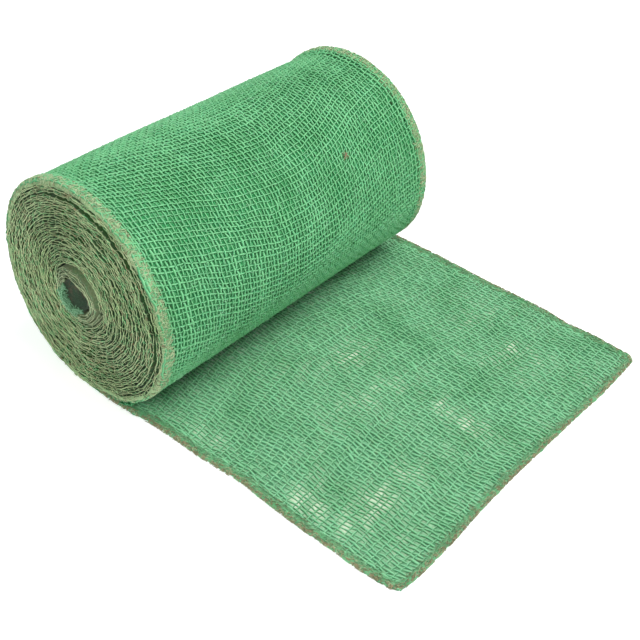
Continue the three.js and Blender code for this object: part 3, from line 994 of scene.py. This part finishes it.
def looseHem(seed):
    path, along, l, wide = edgePath(hemBand["step"])
    inward = np.stack([-along[:, 1], along[:, 0]], -1)
    ruffle = 0.3 * softNoise(l, l * 0, 14, seed) + 0.2 * softNoise(l, l * 0, 4, seed + 1)
    rows = []
    for d, z in hemBand["looseProfile"]:
        x, y = (path + inward * (d * wide + (ruffle if d < 1 else 0.6 * ruffle))[:, None]).T
        lump = 0.14 * softNoise(l * 2, 0 * l + z * 9, 5, seed + 2) * (z > 1)
        rows.append(np.stack([x, y, z + lump + looseLift(x, y)], -1))
    n = len(rows)
    u, v = np.meshgrid(l, np.arange(n + 1) / hemBand["mapScale"], indexing="ij")
    rows, quads, uv = gridMesh(np.stack(rows, 1), u, v)
    caps = np.array([[0, i, i + 1, i + 2] for i in range(1, n - 2, 2)])
    quads = np.concatenate([quads, caps[:, ::-1], caps + (len(l) - 1) * n])
    return rows, quads, np.concatenate([uv, np.zeros((2 * len(caps), 4, 2))])


def looseHemAt():
    path, along, l, wide = edgePath(0.5)

    def at(way, d, lift):
        x, y, ax, ay, share = (np.interp(way, l, column) for column in (*path.T, *along.T, wide))
        z = np.interp(d, [-0.4, 0.1, 0.9, 5.4, 6.8], [0.45, 1.2, 1.75, 1.6, 1.25]) + lift
        d = np.maximum(d, -0.35) * share
        x, y = x - ay * d, y + ax * d
        out = np.clip(0.4 - d, 0, 1)
        return (np.stack([x, y, z + looseLift(x, y)], -1),
                np.stack([ay * out, -ax * out, 1 - 0.6 * out], -1))

    return at, l[-1]


looseHemBand = addPiece("looseHemBand", looseHem(700), "loose_end", "hemCloth")
at, total = looseHemAt()
specs = {thread: hemBand["loose" + thread] for thread in ("Brown", "Green", "Pale")}
looseThreads = addHemThreads("looseHem", at, total, specs, 700, "loose_end")
print("hems of the loose end made")

# Stray fibres that stand out of the yarns
fibres = {
    "steps": 5,
    "thick": 0.2,
    "roll": {"count": 1600, "x": (-98, 84), "way": (0, 340), "inset": 0.35, "length": 2.6, "lift": 0.5},
    "loose": {"count": 1500, "x": (-97, 97), "way": (-182, -8), "inset": 0.2, "length": 3.0, "lift": 0.4},
    "hem": {"count": 600, "inset": (-0.2, 5), "height": (0.8, 1.8), "length": 2.6, "lift": 0.3},
}


def strayFibres(root, normal, heading, spec, seed):
    # each one starts in the cloth, runs along its heading, curls sideways and rises a little
    rng = np.random.default_rng(seed)
    n = len(root)
    way = np.linspace(0, 1, fibres["steps"])[None, :, None]
    heading = unit(heading - normal * (heading * normal).sum(-1, keepdims=True))
    side = np.cross(normal, heading)
    curl = rng.normal(0, 1.0, (n, 1, 1))
    size = spec["length"] * rng.uniform(0.5, 1.5, (n, 1, 1))
    height = spec["lift"] * rng.uniform(0.3, 1.6, (n, 1, 1))
    point = (root[:, None] + heading[:, None] * size * (way - 0.35 * (curl * way) ** 2)
             + side[:, None] * size * 0.6 * curl * way ** 1.5
             + normal[:, None] * height * np.sin(np.pi * np.clip(way * 1.1, 0, 1)))
    up = np.broadcast_to(normal[:, None], point.shape)
    width = fibres["thick"] * rng.uniform(0.7, 1.3, (n, 1)) * (1.1 - 0.6 * way[..., 0])
    return tubes(point, up, width, width, seed, False)


def scattered(surface, spec, seed):
    rng = np.random.default_rng(seed)
    x, way = rng.uniform(*spec["x"], spec["count"]), rng.uniform(*spec["way"], spec["count"])
    root, normal = surface(x, way, spec["inset"])
    turn = rng.uniform(0, 2 * np.pi, spec["count"])
    heading = np.stack([np.cos(turn), np.sin(turn), 0.4 * rng.normal(0, 1, spec["count"])], -1)
    return strayFibres(root, normal, heading, spec, seed)


def hemFibres(spec, seed):
    path, along, _, _ = edgePath(0.5)
    rng = np.random.default_rng(seed)
    one = (spec["count"], 1)
    pick = rng.integers(4, len(path) - 4, spec["count"])
    tangent = along[pick]
    outward = np.stack([tangent[:, 1], -tangent[:, 0]], -1)
    place = path[pick] - outward * rng.uniform(*spec["inset"], one)
    root = np.concatenate([place, rng.uniform(*spec["height"], one)], 1)
    root[:, 2] += looseLift(root[:, 0], root[:, 1])
    heading = outward * rng.uniform(-0.2, 1, one) + tangent * rng.normal(0, 1, one)
    heading = np.concatenate([heading, np.zeros(one)], 1)
    up = np.broadcast_to((0.0, 0.0, 1.0), root.shape)
    points, quads, uv = strayFibres(root, up, heading, spec, seed + 1)
    points[:, 2] = np.maximum(points[:, 2], 0.1)
    return points, quads, uv


addPiece("rollFibres", scattered(rollSurface, fibres["roll"], 810), "wound_roll", "hair")
addPiece("looseFibres", scattered(looseSurface, fibres["loose"], 820), "loose_end", "hair")
addPiece("hemFibres", hemFibres(fibres["hem"], 830), "loose_end", "brownThread")
print("stray fibres made")

# The small reddish knot of fibres that is caught in the netting on the roll's front
rollKnot = {"x": 33.5, "s": 225.8, "spread": 0.42, "fibres": 26, "inset": 0.1, "length": 1.7, "lift": 0.4}


def knotFibres(seed):
    rng = np.random.default_rng(seed)
    x, s = (rollKnot[key] + rng.normal(0, rollKnot["spread"], rollKnot["fibres"]) for key in ("x", "s"))
    root, normal = rollSurface(x, s, rollKnot["inset"])
    return strayFibres(root, normal, rng.normal(0, 1, root.shape), rollKnot, seed + 1)


addPiece("rollKnot", knotFibres(840), "wound_roll", "knotFibre")
print("knot made")

# Floor, light and camera
studio = {
    "floor": (0.93, 0.93, 0.93),
    "floorHalf": 6.0,
    "floorGlow": 0.45,
    "world": 0.36,
    "lightsAt": (0, 0.02, 0.04),  # where both lights point
    "keyPower": 13.2,
    "keyPlace": (0.3, -0.46, 1.28),
    "keySize": 0.8,
    "fillPower": 11.5,
    "fillPlace": (-1.1, -0.6, 1.1),
    "fillSize": 0.6,
}


def makeFloor():
    mesh = bpy.data.meshes.new("floor")
    half = studio["floorHalf"]
    corners = [(-half, -half, 0), (half, -half, 0), (half, half, 0), (-half, half, 0)]
    mesh.from_pydata(corners, [], [(0, 1, 2, 3)])
    floor = newObject("floor", mesh)
    material = bpy.data.materials.new("paleFloor")
    material.use_nodes = True
    look = {"Base Color": (*studio["floor"], 1), "Roughness": 0.9, "Specular IOR Level": 0.1,
            "Emission Color": (1, 1, 1, 1), "Emission Strength": studio["floorGlow"]}
    for key, value in look.items():
        material.node_tree.nodes["Principled BSDF"].inputs[key].default_value = value
    mesh.materials.append(material)


def makeWorld():
    world = bpy.data.worlds.new("studio")
    world.use_nodes = True
    background = world.node_tree.nodes["Background"]
    background.inputs["Color"].default_value = (1, 1, 1, 1)
    background.inputs["Strength"].default_value = studio["world"]
    bpy.context.scene.world = world


def areaLight(name):
    light = bpy.data.lights.new(name, "AREA")
    light.energy, light.size = studio[name + "Power"], studio[name + "Size"]
    obj = newObject(name, light)
    obj.location = studio[name + "Place"]
    away = Vector(studio["lightsAt"]) - Vector(studio[name + "Place"])
    obj.rotation_euler = away.to_track_quat("-Z", "Y").to_euler()


makeFloor()
makeWorld()
areaLight("key")
areaLight("fill")

# The eye is in mm from the roll's own axis
view = {"azimuth": -48.357, "elevation": 38.956, "roll": 0.874, "focalPixels": 1330.4, "photoPixels": 640,
        "eye": (-390.7, -405.3, 437.9)}


def makeCamera():
    a, e, roll = (math.radians(view[key]) for key in ("azimuth", "elevation", "roll"))
    back = np.array([math.sin(a) * math.cos(e), -math.cos(a) * math.cos(e), math.sin(e)])
    right = np.array([math.cos(a), math.sin(a), 0.0])
    up = np.cross(back, right)
    c, s = math.cos(roll), math.sin(roll)
    right, up = c * right + s * up, -s * right + c * up
    eye = (np.array(view["eye"]) + (shiftX, shiftY, 0)) * toMetres
    data = bpy.data.cameras.new("camera")
    data.sensor_width = 36
    data.lens = data.sensor_width * view["focalPixels"] / view["photoPixels"]
    data.clip_start, data.clip_end = 0.01, 50
    camera = newObject("camera", data)
    matrix = np.eye(4)
    matrix[:3] = np.stack([right, up, back, eye], 1)
    camera.matrix_world = Matrix(matrix.tolist())
    bpy.context.scene.camera = camera


makeCamera()
bpy.context.scene.view_settings.view_transform = "Standard"
print("studio made")
